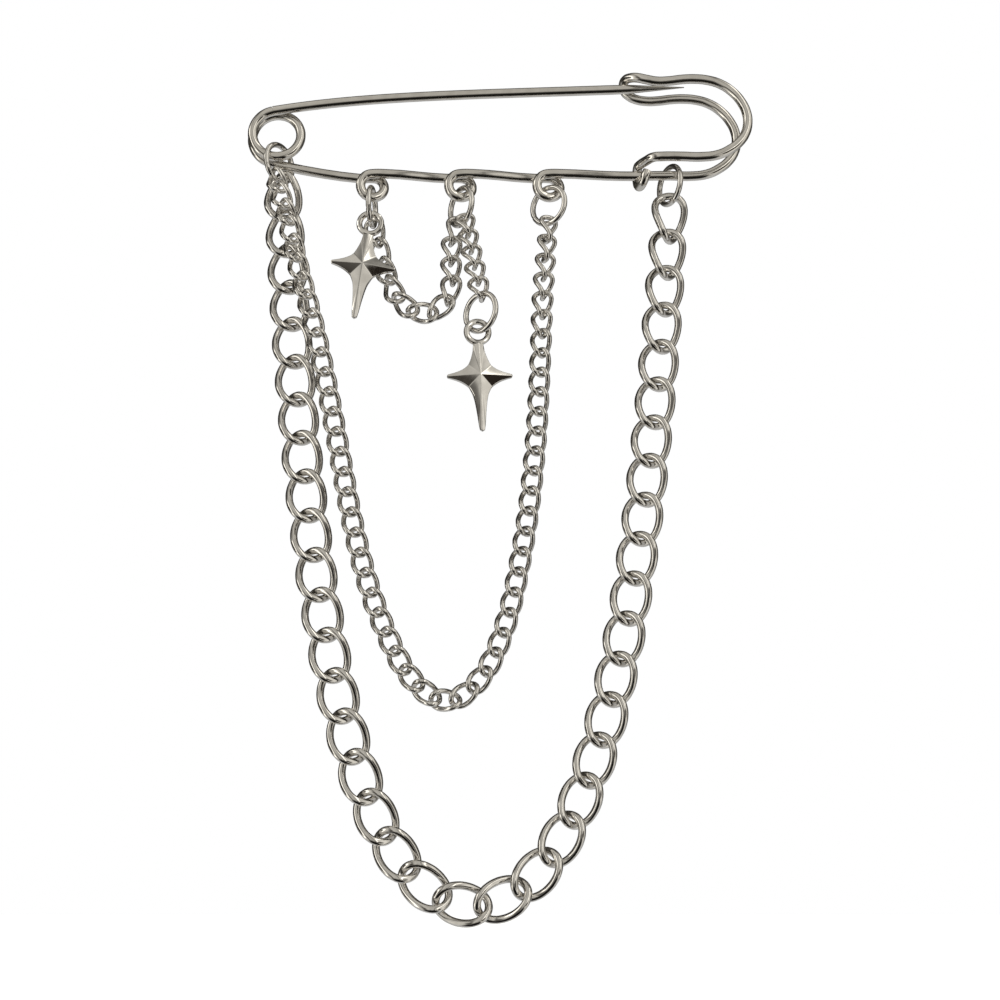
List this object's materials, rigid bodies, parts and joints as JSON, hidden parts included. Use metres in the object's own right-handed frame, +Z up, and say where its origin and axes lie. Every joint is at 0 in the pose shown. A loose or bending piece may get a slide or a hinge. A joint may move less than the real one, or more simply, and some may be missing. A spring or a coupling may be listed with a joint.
{
  "type": "lapel chain",
  "caption": "Silver-tone kilt pin bent from one wire, hung with a long curb chain, finer chains and two four-pointed star drops.",
  "frame": {"origin": "middle of the gap between the pin's arm and its spine, where the cloth sits", "axes": "+X from the spring coil to the clasp bow, +Y away from the viewer into the cloth, +Z up"},
  "size_m": [0.0637, 0.0066, 0.1049],
  "materials": {
    "silver_metal": "polished silver-tone plating"
  },
  "bodies": {
    "frame": {"pin_frame": "silver_metal", "coil_ring": "silver_metal", "loop_ring_1": "silver_metal", "loop_ring_2": "silver_metal", "loop_ring_3": "silver_metal", "bow_ring": "silver_metal", "star_ring": "silver_metal", "star_1": "silver_metal", "star_2": "silver_metal", "fine_chain": "silver_metal", "swag_chain": "silver_metal", "drop_chain": "silver_metal", "long_link_1": "silver_metal", "long_link_2": "silver_metal", "long_link_3": "silver_metal", "long_link_4": "silver_metal", "long_link_5": "silver_metal", "long_link_6": "silver_metal", "long_link_7": "silver_metal", "long_link_8": "silver_metal", "long_link_9": "silver_metal", "long_link_10": "silver_metal", "long_link_11": "silver_metal", "long_link_12": "silver_metal", "long_link_13": "silver_metal", "long_link_14": "silver_metal", "long_link_15": "silver_metal", "long_link_16": "silver_metal", "long_link_17": "silver_metal", "long_link_18": "silver_metal", "long_link_19": "silver_metal", "long_link_20": "silver_metal", "long_link_21": "silver_metal", "long_link_22": "silver_metal", "long_link_23": "silver_metal", "long_link_24": "silver_metal", "long_link_25": "silver_metal", "long_link_26": "silver_metal", "long_link_27": "silver_metal", "long_link_28": "silver_metal", "long_link_29": "silver_metal", "long_link_30": "silver_metal", "long_link_31": "silver_metal", "long_link_32": "silver_metal", "long_link_33": "silver_metal", "long_link_34": "silver_metal", "long_link_35": "silver_metal", "long_link_36": "silver_metal", "long_link_37": "silver_metal", "long_link_38": "silver_metal", "long_link_39": "silver_metal"},
    "arm": {"pin_arm": "silver_metal"}
  },
  "joints": [
    {"name": "arm_press", "type": "hinge", "parent": "frame", "child": "arm", "pos_m": [-0.0231, 0, -0.00035], "axis": [0, 1, 0], "range_deg": [0, 6], "stiffness_Nm_per_rad": 0.4, "springref_deg": -14.9}
  ]
}
